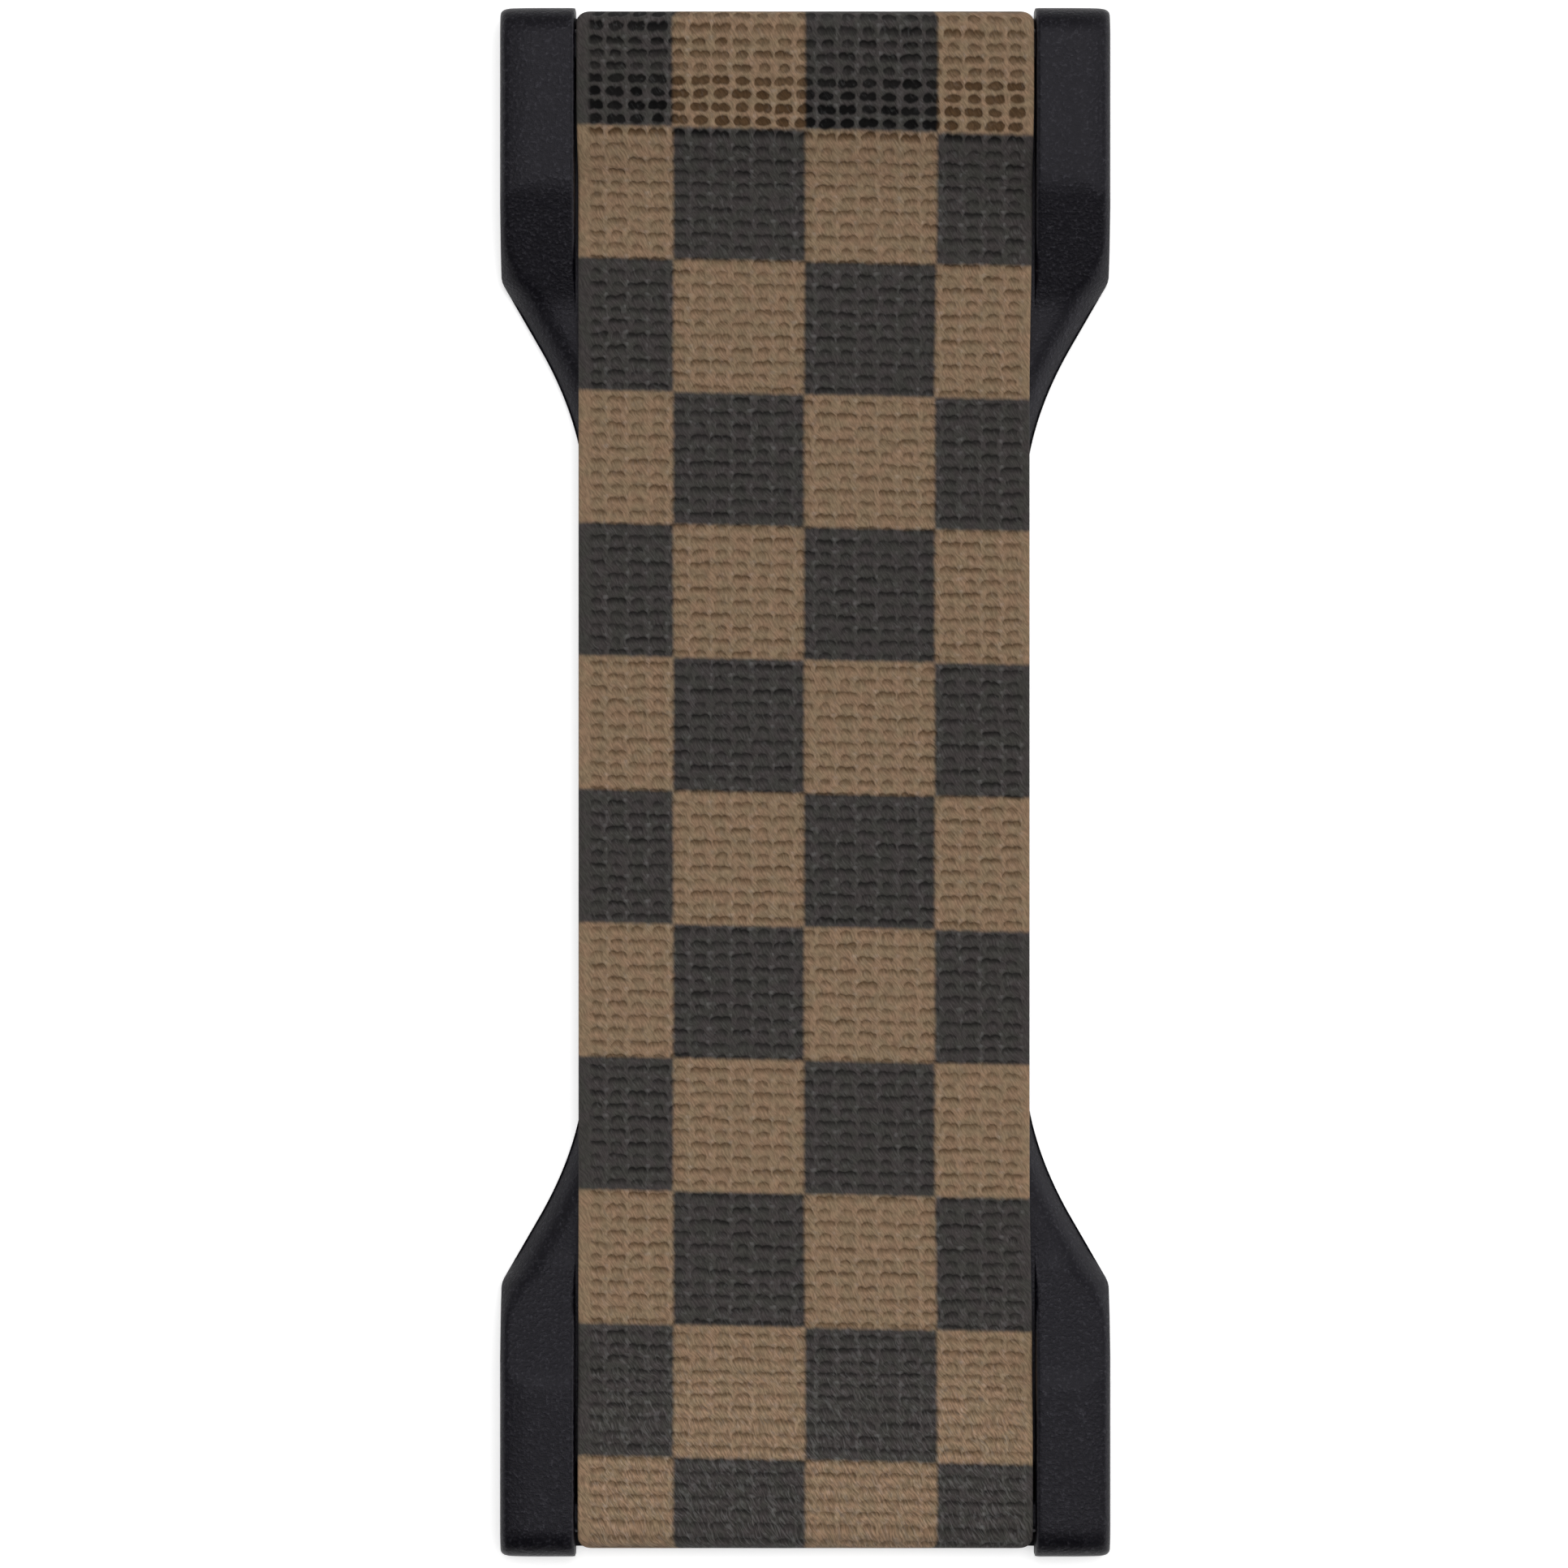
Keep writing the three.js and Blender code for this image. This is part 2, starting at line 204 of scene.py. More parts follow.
# Adhesive pad. One die-cut piece of double-sided foam tape, stuck to the base's underside a little
# inside its edge. Its closed-cell foam is black and shows only as a thin dark line at the side.
foam_cell = 0.12 * MM
foam_colours = ((0.0, (0.006, 0.006, 0.007, 1)), (1.0, (0.02, 0.02, 0.022, 1)))
pad_node = next(o for o in scene.objects if o.name == "adhesive_pad")


def colour_stops(nodes, stops):
    """A colour ramp between two stops, each a place from 0 to 1 and its colour."""
    node = nodes.new("ShaderNodeValToRGB")
    for element, (place, colour) in zip(node.color_ramp.elements, stops):
        element.position = place
        element.color = colour
    return node


foam = bpy.data.materials.new("foam_tape")
foam.use_nodes = True
foam_nodes = foam.node_tree.nodes
foam_links = foam.node_tree.links
foam_skin = foam_nodes["Principled BSDF"]
foam_skin.inputs["Roughness"].default_value = 0.85
foam_skin.inputs["Specular IOR Level"].default_value = 0.2
foam_place = foam_nodes.new("ShaderNodeTexCoord")
foam_cells = foam_nodes.new("ShaderNodeTexVoronoi")
foam_cells.inputs["Scale"].default_value = 1 / foam_cell
foam_shades = colour_stops(foam_nodes, foam_colours)
foam_bump = foam_nodes.new("ShaderNodeBump")
foam_bump.inputs["Distance"].default_value = 0.04 * MM
foam_bump.inputs["Strength"].default_value = 0.6
foam_links.new(foam_place.outputs["Object"], foam_cells.inputs["Vector"])
foam_links.new(foam_cells.outputs["Distance"], foam_shades.inputs["Fac"])
foam_links.new(foam_shades.outputs["Color"], foam_skin.inputs["Base Color"])
foam_links.new(foam_cells.outputs["Distance"], foam_bump.inputs["Height"])
foam_links.new(foam_bump.outputs["Normal"], foam_skin.inputs["Normal"])
for pad_slot in pad_node.material_slots:
    pad_slot.material = foam


# Base frame. One black plastic moulding shaped like a dog bone: a thin floor plate, an ear at each
# corner that ramps down to it, and a round bar across each end that the strap loops round.
base_low, base_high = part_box("base_frame")
base_half_length = base_high[1]
base_half_width = base_high[0]
base_foot = base_low[2]
ear_top = base_high[2]
ear_width = 4.65 * MM
floor_thickness = 1.5 * MM
floor_top = base_foot + floor_thickness
channel_half = base_half_width - ear_width
plan_corner = 0.45 * MM
end_rounding = 1.9 * MM
end_drop = 1.6 * MM
lip_radius = 0.3 * MM
foot_radius = 0.2 * MM
foot_middle = 0.3 * foot_radius
ramp_start = 11.1 * MM
ramp_slope = 0.285
ramp_blend = 0.8 * MM
ramp_foot = ramp_start + (ear_top - floor_top) / ramp_slope

# Each outer edge falls away toward the side, over a width and by a height: (width, fall). The
# ramp's narrow edge opens into the flare's wide one over the distances in edge_opens
crown_radius = (0.5 * MM, 0.55 * MM)
crown_ease = (2.2 * MM, 0.26 * MM)
crown_power = 2.0
ramp_edge = (0.7 * MM, 0.45 * MM)
flare_edge = (2.9 * MM, 1.45 * MM)
flare_power = 3.0
edge_opens = (14.5 * MM, 18.5 * MM)

# In plan, each flare runs straight inward from the ear's end and eases into the narrow waist
flare_start = 17.0 * MM
flare_corner = 0.3 * MM
flare_angle = math.radians(30)
flare_slope = math.tan(flare_angle)
waist_inset = 0.6 * MM
waist_half = channel_half - waist_inset
waist_blend = 10.0 * MM
waist_start = flare_start + (base_half_width - waist_half - flare_slope * waist_blend / 2) / flare_slope


def soft_ramp(x, blend):
    """Zero below zero and x above it, with a round corner of the given half length."""
    corner = (x + blend) ** 2 / (4 * blend)
    return np.where(x <= -blend, 0, np.where(x >= blend, x, corner))


def smooth_step(x, low, high):
    """From 0 at low to 1 at high, with no corner at either."""
    t = np.clip((x - low) / (high - low), 0, 1)
    return t * t * (3 - 2 * t)


def round_fall(x, radius):
    """How far a quarter-round edge has fallen, as a share, at x in from it."""
    t = 1 - np.clip(x / radius, 0, 1)
    return 1 - np.sqrt(1 - t * t)


def eased_fall(x, width, power):
    """How far a soft edge has fallen, as a share: steep outside and easing into the flat inside."""
    return (1 - np.clip(x / width, 0, 1)) ** power


def base_half_width_at(from_end):
    """Half the base's width at a distance from its end: ear, flare, then waist."""
    corner = plan_corner * round_fall(from_end, plan_corner)
    to_waist = np.maximum(0, waist_start + waist_blend - from_end)
    flare = base_half_width - flare_slope * soft_ramp(from_end - flare_start, flare_corner)
    waist = waist_half + flare_slope * to_waist ** 2 / (2 * waist_blend)
    return np.where(from_end < waist_start, flare - corner, waist)


def ramp_height(from_end):
    """The plain ramp from the ear's crown down to the floor plate, rounded at both ends."""
    upper = ear_top - ramp_slope * soft_ramp(from_end - ramp_start, ramp_blend)
    lower = floor_top + ramp_slope * soft_ramp(ramp_foot - from_end, ramp_blend)
    return np.where(from_end < (ramp_start + ramp_foot) / 2, upper, lower)


def base_height(inward, from_end):
    """Height of the base's upper surface, at a distance in from its side and from its end."""
    crown = ear_top - end_drop * round_fall(from_end, end_rounding)
    crown = crown - crown_radius[1] * round_fall(inward, crown_radius[0])
    crown = crown - crown_ease[1] * eased_fall(inward, crown_ease[0], crown_power)
    flare = smooth_step(from_end, *edge_opens)
    edge_width = ramp_edge[0] + (flare_edge[0] - ramp_edge[0]) * flare
    edge_fall = ramp_edge[1] + (flare_edge[1] - ramp_edge[1]) * flare
    ramp = ramp_height(from_end) - edge_fall * eased_fall(inward, edge_width, flare_power)
    return np.minimum(crown, ramp)


def skin(name, rings):
    """A closed mesh object over equal rings of points, each ring turning the same way."""
    count, size = rings.shape[:2]
    faces = []
    for i in range(count - 1):
        for j in range(size):
            here = i * size + j
            beside = i * size + (j + 1) % size
            faces.append((here, beside, beside + size, here + size))
    faces.append(tuple(range(size - 1, -1, -1)))
    faces.append(tuple((count - 1) * size + j for j in range(size)))
    mesh = bpy.data.meshes.new(name)
    mesh.from_pydata(rings.reshape(-1, 3).tolist(), [], faces)
    piece = bpy.data.objects.new(name, mesh)
    scene.collection.objects.link(piece)
    return piece


# Cross-sections stand closest where the ramps and flares turn. Each run of them has a start, a
# stop and a step, in millimetres from the end
section_runs = (
    (2.5, 10.5, 1.0),
    (10.25, 19.5, 0.25),
    (19.75, 33.0, 0.5),
    (34.0, base_half_length / MM, 3.0),
)
end_points = 12
edge_points = 20
edge_crowding = 1.3
middle_points = 14
quarter = np.linspace(0, math.pi / 2, end_points)
base_ends = np.concatenate([
    end_rounding * (1 - np.cos(quarter)),
    *[np.arange(*run) * MM for run in section_runs],
])
base_inward = flare_edge[0] * np.linspace(0, 1, edge_points) ** edge_crowding


def base_ring(from_end, y):
    """One cross-section of the uncut base, from its foot up over its top and down again."""
    half = base_half_width_at(from_end)
    middle = np.linspace(half - flare_edge[0], 0, middle_points)[1:]
    foot_x = [half - foot_radius, half - foot_middle, half]
    foot_z = [base_foot, base_foot + foot_middle, base_foot + foot_radius]
    top_x = np.concatenate([half - base_inward, middle])
    side_x = np.concatenate([foot_x, top_x])
    side_z = np.concatenate([foot_z, base_height(half - top_x, from_end)])
    left = np.stack([-side_x, np.full_like(side_x, y), side_z], 1)
    right = np.stack([side_x, np.full_like(side_x, y), side_z], 1)[::-1][1:]
    return np.concatenate([left, right])


near_rings = [base_ring(d, d - base_half_length) for d in base_ends]
far_rings = [base_ring(d, base_half_length - d) for d in base_ends[::-1]]
blank = skin("base_blank", np.array(near_rings + far_rings))

# The channel between the ears, the open ends and the slots are cut out of the blank, and a bar is
# set across each end. They take their places from the strap's path: along the floor, up over its
# own tail, round the bar and back up through the slot
strap_end_inset = 0.4 * MM
strap_thickness = 0.95 * MM
floor_gap = 0.03 * MM
tail_gap = 0.06 * MM
table_gap = 0.1 * MM
bar_gap = 0.05 * MM
bar_depth = 2.0 * MM
bar_edge = 0.2 * MM
bar_sunk = 0.5 * MM
slot_length = 2.1 * MM
slot_edge = 0.3 * MM
low_run = floor_top + floor_gap + strap_thickness / 2
high_run = low_run + strap_thickness + tail_gap
under_run = base_foot + table_gap + strap_thickness / 2
wrap_radius = (high_run - under_run) / 2
wrap_height = (high_run + under_run) / 2
wrap_centre = base_half_length - strap_end_inset - strap_thickness / 2 - wrap_radius
bar_radius = wrap_radius - strap_thickness / 2 - bar_gap
bar_inner = wrap_centre + bar_radius - bar_depth
floor_end = bar_inner - slot_length
past = 1.0 * MM
strap_slide = 0.1 * MM
inside_edges = 5 * MM
least_wall = 0.02 * MM
lip_points = 6
slot_points = 8
bar_points = 24


def channel_ring(from_end, y):
    """One cross-section of the cutter between the ears, with a lip that rounds their inner edges."""
    ear = min(float(base_height(inside_edges, from_end)), ear_top)
    top = max(ear, floor_top + least_wall)
    lip = min(lip_radius, (top - floor_top) / 2)
    turn = np.linspace(0, math.pi / 2, lip_points)
    x = np.concatenate([[channel_half], channel_half + lip * (1 - np.cos(turn)), [channel_half + lip]])
    z = np.concatenate([[floor_top], top - lip * (1 - np.sin(turn)), [ear_top + past]])
    left = np.stack([-x, np.full_like(x, y), z], 1)
    right = np.stack([x, np.full_like(x, y), z], 1)[::-1]
    return np.concatenate([left, right])


def turned(piece, slide=0.0):
    """A copy turned half round the upright axis, for the other end, and slid along the strap."""
    copy = piece.copy()
    copy.data = piece.data.copy()
    points = np.empty(len(copy.data.vertices) * 3)
    copy.data.vertices.foreach_get("co", points)
    points = points.reshape(-1, 3) * (-1, -1, 1) + (0, 2 * slide, 0)
    copy.data.vertices.foreach_set("co", points.ravel())
    scene.collection.objects.link(copy)
    return copy


def across(name, outline, half_width):
    """A bar across the strap with the given (y, z) outline."""
    slid = np.array(outline) + (strap_slide, 0)
    sides = [np.column_stack([np.full(len(slid), x), slid]) for x in (-half_width, half_width)]
    return skin(name, np.array(sides))


channel_stations = [d for d in base_ends[::-1] if d < ramp_foot + ramp_blend + past]
channel_rings = [channel_ring(d, base_half_length - d) for d in channel_stations]
channel_rings.append(channel_ring(0.0, base_half_length + past))
channel = skin("channel", np.array(channel_rings))
slot_turn = np.linspace(0, math.pi / 2, slot_points)
end_outline = [
    (base_half_length + past, ear_top + past),
    (floor_end - slot_edge, ear_top + past),
    *zip(
        floor_end - slot_edge * (1 - np.sin(slot_turn)),
        floor_top - slot_edge * (1 - np.cos(slot_turn)),
    ),
    (floor_end, base_foot - past),
    (base_half_length + past, base_foot - past),
]
opening = across("end_opening", np.array(end_outline), channel_half)
bar_turn = np.linspace(-math.pi / 2, math.pi / 2, bar_points)
bar_outline = [
    *zip(wrap_centre + bar_radius * np.cos(bar_turn), wrap_height + bar_radius * np.sin(bar_turn)),
    (bar_inner + bar_edge, wrap_height + bar_radius),
    (bar_inner, wrap_height + bar_radius - bar_edge),
    (bar_inner, wrap_height - bar_radius + bar_edge),
    (bar_inner + bar_edge, wrap_height - bar_radius),
]
bar = across("end_bar", np.array(bar_outline), channel_half + bar_sunk)

shaping = (
    ("DIFFERENCE", channel, 0.0),
    ("DIFFERENCE", opening, strap_slide),
    ("UNION", bar, strap_slide),
)
for operation, form, slide in shaping:
    for tool in (form, turned(form, slide)):
        shaped = blank.modifiers.new("shaped", "BOOLEAN")
        shaped.operation = operation
        shaped.solver = "EXACT"
        shaped.object = tool

bpy.context.view_layer.update()
dressed = blank.evaluated_get(bpy.context.evaluated_depsgraph_get())
base_mesh = bpy.data.meshes.new_from_object(dressed)
spent_tools = ("channel", "end_opening", "end_bar")
for leftover in [o for o in scene.objects if o.name.split(".")[0] in spent_tools]:
    bpy.data.objects.remove(leftover)
bpy.data.objects.remove(blank)
base_mesh.name = "moulded_base"
base = bpy.data.objects.new("moulded_base", base_mesh)
scene.collection.objects.link(base)
weld_distance = 0.002 * MM
crease_angle = math.radians(35)
work = bmesh.new()
work.from_mesh(base_mesh)
bmesh.ops.remove_doubles(work, verts=work.verts, dist=weld_distance)
bmesh.ops.recalc_face_normals(work, faces=work.faces)
work.to_mesh(base_mesh)
work.free()
base_mesh.shade_smooth()
base_mesh.set_sharp_from_angle(angle=crease_angle)

# Black plastic with a fine moulded grain, a few paler specks and a slightly uneven sheen
grain_size = 0.2 * MM
grain_height = 0.05 * MM
speck_size = 0.2 * MM
cloud_size = 4 * MM
plastic_colours = ((0.3, (0.0010, 0.0009, 0.0020, 1)), (0.75, (0.0032, 0.0028, 0.0048, 1)))
speck_colours = ((0.54, (0, 0, 0, 1)), (0.78, (0.026, 0.0255, 0.029, 1)))
plastic = bpy.data.materials.new("black_moulding")
plastic.use_nodes = True
plastic_nodes = plastic.node_tree.nodes
plastic_links = plastic.node_tree.links
plastic_skin = plastic_nodes["Principled BSDF"]
plastic_skin.inputs["Specular IOR Level"].default_value = 0.28
plastic_skin.inputs["Specular Tint"].default_value = (0.93, 0.90, 1.0, 1)
plastic_place = plastic_nodes.new("ShaderNodeTexCoord")
grain = plastic_nodes.new("ShaderNodeTexNoise")
grain.inputs["Scale"].default_value = 1 / grain_size
grain.inputs["Detail"].default_value = 4
grain.inputs["Roughness"].default_value = 0.6
grain_bump = plastic_nodes.new("ShaderNodeBump")
grain_bump.inputs["Strength"].default_value = 1.0
grain_bump.inputs["Distance"].default_value = grain_height
cloud = plastic_nodes.new("ShaderNodeTexNoise")
cloud.inputs["Scale"].default_value = 1 / cloud_size
plastic_shades = colour_stops(plastic_nodes, plastic_colours)
plastic_rough = plastic_nodes.new("ShaderNodeMapRange")
plastic_rough.inputs["To Min"].default_value = 0.27
plastic_rough.inputs["To Max"].default_value = 0.39
plastic_links.new(plastic_place.outputs["Object"], grain.inputs["Vector"])
plastic_links.new(plastic_place.outputs["Object"], cloud.inputs["Vector"])
plastic_links.new(grain.outputs["Fac"], grain_bump.inputs["Height"])
plastic_links.new(grain_bump.outputs["Normal"], plastic_skin.inputs["Normal"])
plastic_links.new(grain.outputs["Fac"], plastic_shades.inputs["Fac"])
speck = plastic_nodes.new("ShaderNodeTexNoise")
speck.inputs["Scale"].default_value = 1 / speck_size
speck.inputs["Detail"].default_value = 3
speck.inputs["Roughness"].default_value = 0.65
speck_shades = colour_stops(plastic_nodes, speck_colours)
speckled = plastic_nodes.new("ShaderNodeVectorMath")
speckled.operation = "ADD"
plastic_links.new(plastic_place.outputs["Object"], speck.inputs["Vector"])
plastic_links.new(speck.outputs["Fac"], speck_shades.inputs["Fac"])
plastic_links.new(plastic_shades.outputs["Color"], speckled.inputs[0])
plastic_links.new(speck_shades.outputs["Color"], speckled.inputs[1])
plastic_links.new(speckled.outputs[0], plastic_skin.inputs["Base Color"])
plastic_links.new(cloud.outputs["Fac"], plastic_rough.inputs["Value"])
plastic_links.new(plastic_rough.outputs["Result"], plastic_skin.inputs["Roughness"])
base_mesh.materials.clear()
base_mesh.materials.append(plastic)
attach(base, "root")
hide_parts("base_frame")


# Elastic strap. A flat woven elastic, printed with a two-tone check, that goes round both end bars
# and back under itself. Its weave shows as rows of small arched pits between raised warp ribs.
strap_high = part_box("elastic_strap")[1]
strap_half = strap_high[0]
tail_lap = 2.4 * MM
strap_tail_end = floor_end - tail_lap
step_length = 3.6 * MM
strap_corner = 0.7 * MM
row_pitch = 0.787 * MM
column_pitch = 1.305 * MM
stations_per_row = 5
points_per_column = 6
slant_angle = math.radians(1.2)
slant = math.tan(slant_angle)
selvedge_round = 0.16 * MM
selvedge_points = 5
back_round = 0.25 * MM
hidden_stations = 33
fine_step = 0.02 * MM

# The middle line of one half, as (y, z): along the floor, up the step, round the bar, up through
# the slot, and back over the floor as a tail
slot_middle = (bar_inner + floor_end) / 2
turn_radius = (low_run - under_run) / 2
turn_height = under_run + turn_radius
step_points = 60
wrap_points = 120
turn_points = 40
step_share = np.linspace(0, 1, step_points)
arc_half = np.linspace(math.pi / 2, -math.pi / 2, wrap_points)
arc_up = np.linspace(-math.pi / 2, -math.pi, turn_points)
arc_back = np.linspace(0, math.pi / 2, turn_points)
middle_line = np.concatenate([
    [(0, low_run)],
    np.column_stack([
        strap_tail_end - step_length * (1 - step_share),
        low_run + (high_run - low_run) * smooth_step(step_share, 0, 1),
    ]),
    np.column_stack([
        wrap_centre + wrap_radius * np.cos(arc_half),
        wrap_height + wrap_radius * np.sin(arc_half),
    ]),
    np.column_stack([
        slot_middle + turn_radius + turn_radius * np.cos(arc_up),
        turn_height + turn_radius * np.sin(arc_up),
    ]),
    np.column_stack([
        slot_middle - turn_radius + turn_radius * np.cos(arc_back),
        low_run - turn_radius + turn_radius * np.sin(arc_back),
    ]),
    [(strap_tail_end, low_run)],
])
line_steps = np.linalg.norm(np.diff(middle_line, axis=0), axis=1)
line_lengths = np.concatenate([[0], np.cumsum(line_steps)])
strap_length_half = line_lengths[-1]
wrap_first = 1 + len(step_share)
wrap_last = wrap_first + len(arc_half) - 1
wrap_end = line_lengths[wrap_last]
strap_turn = line_lengths[wrap_first] + wrap_radius * math.pi / 2
fine_steps = np.arange(0, strap_length_half, fine_step)
fine_line = np.column_stack([np.interp(fine_steps, line_lengths, middle_line[:, k]) for k in (0, 1)])
fine_slope = np.gradient(fine_line, fine_step, axis=0)
fine_slope /= np.linalg.norm(fine_slope, axis=1)[:, None]

# How the strap lies as it is held: its far end reaches a little further and is a little wider, and
# between the ears it is narrower and lies a little to the left
far_reach = 0.11 * MM
far_reach_run = (20 * MM, 46 * MM)
wide_far = 0.006
wide_far_run = (37 * MM, 43 * MM)
narrow_middle = 0.0065
slack_side = -0.07 * MM
held_run = (24 * MM, 36 * MM)


def on_strap(along):
    """Points and outward normals of the middle line at signed distances along it."""
    side = np.where(along < 0, -1.0, 1.0)
    reach = np.abs(along)
    y = side * np.interp(reach, fine_steps, fine_line[:, 0])
    z = np.interp(reach, fine_steps, fine_line[:, 1])
    normal_y = -side * np.interp(reach, fine_steps, fine_slope[:, 1])
    normal_z = np.interp(reach, fine_steps, fine_slope[:, 0])
    return y, z, normal_y, normal_z


# One ring of points goes round the strap: the printed face, then the plain back. The face's even
# points stop short of its rounded selvedges
points_short = 3
face_points = int(strap_half / column_pitch * points_per_column) - points_short
face_x = np.arange(-face_points, face_points + 1) * column_pitch / points_per_column
edge_steps = selvedge_round * (1 - np.cos(np.linspace(0, math.pi / 2, selvedge_points)))
face_x = np.concatenate([-strap_half + edge_steps, face_x, (strap_half - edge_steps)[::-1]])
face_drop = selvedge_round * round_fall(strap_half - np.abs(face_x), selvedge_round)
back_x = np.array([strap_half, strap_half - back_round, -strap_half + back_round, -strap_half])
back_drop = strap_thickness - np.array([back_round, 0.0, 0.0, back_round])
ring_x = np.concatenate([face_x, back_x])
ring_height = strap_thickness / 2 - np.concatenate([face_drop, back_drop])
on_face = np.concatenate([np.ones(len(face_x)), np.zeros(len(back_x))])

shown_rows = int(wrap_end / row_pitch)
shown_steps = shown_rows * stations_per_row
shown = np.arange(-shown_steps, shown_steps + 1) * row_pitch / stations_per_row
hidden = np.linspace(shown[-1], strap_length_half, hidden_stations + 1)[1:]
stations = np.concatenate([-hidden[::-1], shown, hidden])
along = stations[:, None] * np.ones(len(ring_x))
x = np.ones(len(stations))[:, None] * ring_x
fade = 1 - smooth_step(np.abs(along), wrap_end, strap_length_half)
y, z, normal_y, normal_z = on_strap(along - x * slant * fade)
face_y = np.abs(y + normal_y * strap_thickness / 2)
y = y + far_reach * smooth_step(y, *far_reach_run)
into_corner = np.clip(face_y - (strap_high[1] - strap_corner), 0, strap_corner)
narrowed = strap_corner - np.sqrt(strap_corner ** 2 - into_corner ** 2)
held = smooth_step(np.abs(y), *held_run)
x = x * (1 - narrow_middle * (1 - held) + wide_far * smooth_step(y, *wide_far_run))
x = x * (1 - narrowed / strap_half) + slack_side * (1 - held)
points = np.stack([x, y + strap_slide + normal_y * ring_height, z + normal_z * ring_height], 2)
strap = skin("woven_strap", points)
strap_mesh = strap.data
print_past_wrap = 1 * MM
for name, values in {
    "across": np.ones(len(stations))[:, None] * ring_x,
    "along": along,
    "printed": (np.abs(along) < wrap_end + print_past_wrap) * on_face,
}.items():
    layer = strap_mesh.attributes.new(name, "FLOAT", "POINT")
    layer.data.foreach_set("value", np.ascontiguousarray(values, dtype=np.float32).ravel())


def calc(tree, operation, *values):
    """Adds one math node and returns its result; a value is a number or another node's result."""
    node = tree.nodes.new("ShaderNodeMath")
    node.operation = operation
    for socket, value in zip(node.inputs, values):
        if isinstance(value, (int, float)):
            socket.default_value = value
        else:
            tree.links.new(value, socket)
    return node.outputs[0]


def plus(tree, first, second):
    return calc(tree, "ADD", first, second)


def minus(tree, first, second):
    return calc(tree, "SUBTRACT", first, second)


def times(tree, first, second):
    return calc(tree, "MULTIPLY", first, second)


def soft(tree, value, low, high):
    """0 below low and 1 above high, smoothly; low may be more than high."""
    node = tree.nodes.new("ShaderNodeMapRange")
    node.interpolation_type = "SMOOTHSTEP"
    tree.links.new(value, node.inputs["Value"])
    node.inputs["From Min"].default_value = low
    node.inputs["From Max"].default_value = high
    return node.outputs["Result"]


def near(tree, value, middle, outer, inner):
    """1 within the inner distance of the middle and 0 past the outer one, smoothly."""
    return soft(tree, calc(tree, "ABSOLUTE", minus(tree, value, middle)), outer, inner)


def spread(tree, value, low, high):
    """A number from low to high as the value goes from 0 to 1."""
    return plus(tree, times(tree, value, high - low), low)


def noise(tree, vector, size, detail=2.0):
    """Noise from 0 to 1 whose blotches are about the given size."""
    node = tree.nodes.new("ShaderNodeTexNoise")
    tree.links.new(vector, node.inputs["Vector"])
    node.inputs["Scale"].default_value = 1 / size
    node.inputs["Detail"].default_value = detail
    return node.outputs[0]


def drift(tree, vector, size):
    """Noise that swings to either side of zero."""
    return minus(tree, noise(tree, vector, size), 0.5)


def place_at(tree, across_value, along_value):
    """A vector of a place across and along the strap."""
    node = tree.nodes.new("ShaderNodeCombineXYZ")
    tree.links.new(across_value, node.inputs[0])
    tree.links.new(along_value, node.inputs[1])
    return node.outputs[0]


# How the loop's pull changes the weave, in millimetres along the strap from its middle: where the
# rows open near the far bar, where they ease again, and where they close up near the other one.
# One corner at the far bar stands open too, and corner_across says where across the strap
opening_rows = (39.7, 40.6)
easing_rows = (42.9, 44.6)
opened_at_bar = 0.42
corner_rows = (44.8, 46.2)
corner_across = (-7.0 * MM, -9.0 * MM)
corner_opened = 0.85
patch_size = 1.9 * MM
patch_edge = (0.3, 0.5)
patch_opened = (0.88, 1.0)
tight_rows = (-30.0, -44.0)

# Where the rows start, how much of a row the far end's pull takes up and over what length, and how
# far the yarns wander from a true grid, in rows and columns
row_start = 1.63
pulled_rows = (36.0, 46.0)
rows_lost = 0.4
wander_size = 2.6 * MM
stray_size = 0.8 * MM
sway_size = 1.3 * MM
row_wander = 0.45
row_stray = 0.3
column_stray = 0.35

# A hollow's half width in columns, and how much the pull adds: for a narrow one, for a wide one
hollow_half = (0.27, 0.46)
hollow_half_opened = (0.07, -0.02)
hollow_half_tight = (0.1, 0.03)
hollow_side = (1.12, 0.88)
lobe_lean = -0.7

# The arched brow above each hollow, in rows: plain, and where the weave is opened
brow_rise = (0.2, 0.3)
brow_height = (0.6, 0.58)
brow_edge = (-0.07, 0.10)
least_below = 0.08
hollow_reach = 0.52
opened_sill = (0.22, 0.48)
opened_sill_arch = 0.2

# How deep a hollow goes, as a share. Each pair is for none and for the most of what it is named
# for; narrow_depth is a narrow hollow's, plain and opened, and most_depth is the limit, by luck
narrow_depth = (0.82, 0.95)
luck_depth = (0.75, 1.15)
opened_depth = (1.0, 1.55)
most_depth = (1.05, 1.3)
tight_depth = (1.0, 0.85)

# The ribs between the columns, the knots on them and the swells: where in a row, and how far
unevenness = 2.5
rib_row = 0.62
rib_along = (0.46, 0.1)
rib_across = (0.14, 0.0)
rib_luck = (0.2, 0.9)
knot_row = 0.87
knot_along = (0.24, 0.02)
knot_across = (0.2, 0.02)
knot_luck = (0.0, 1.1)
swell_row = 0.28
swell_along = (0.32, 0.02)
swell_luck = (0.4, 1.0)


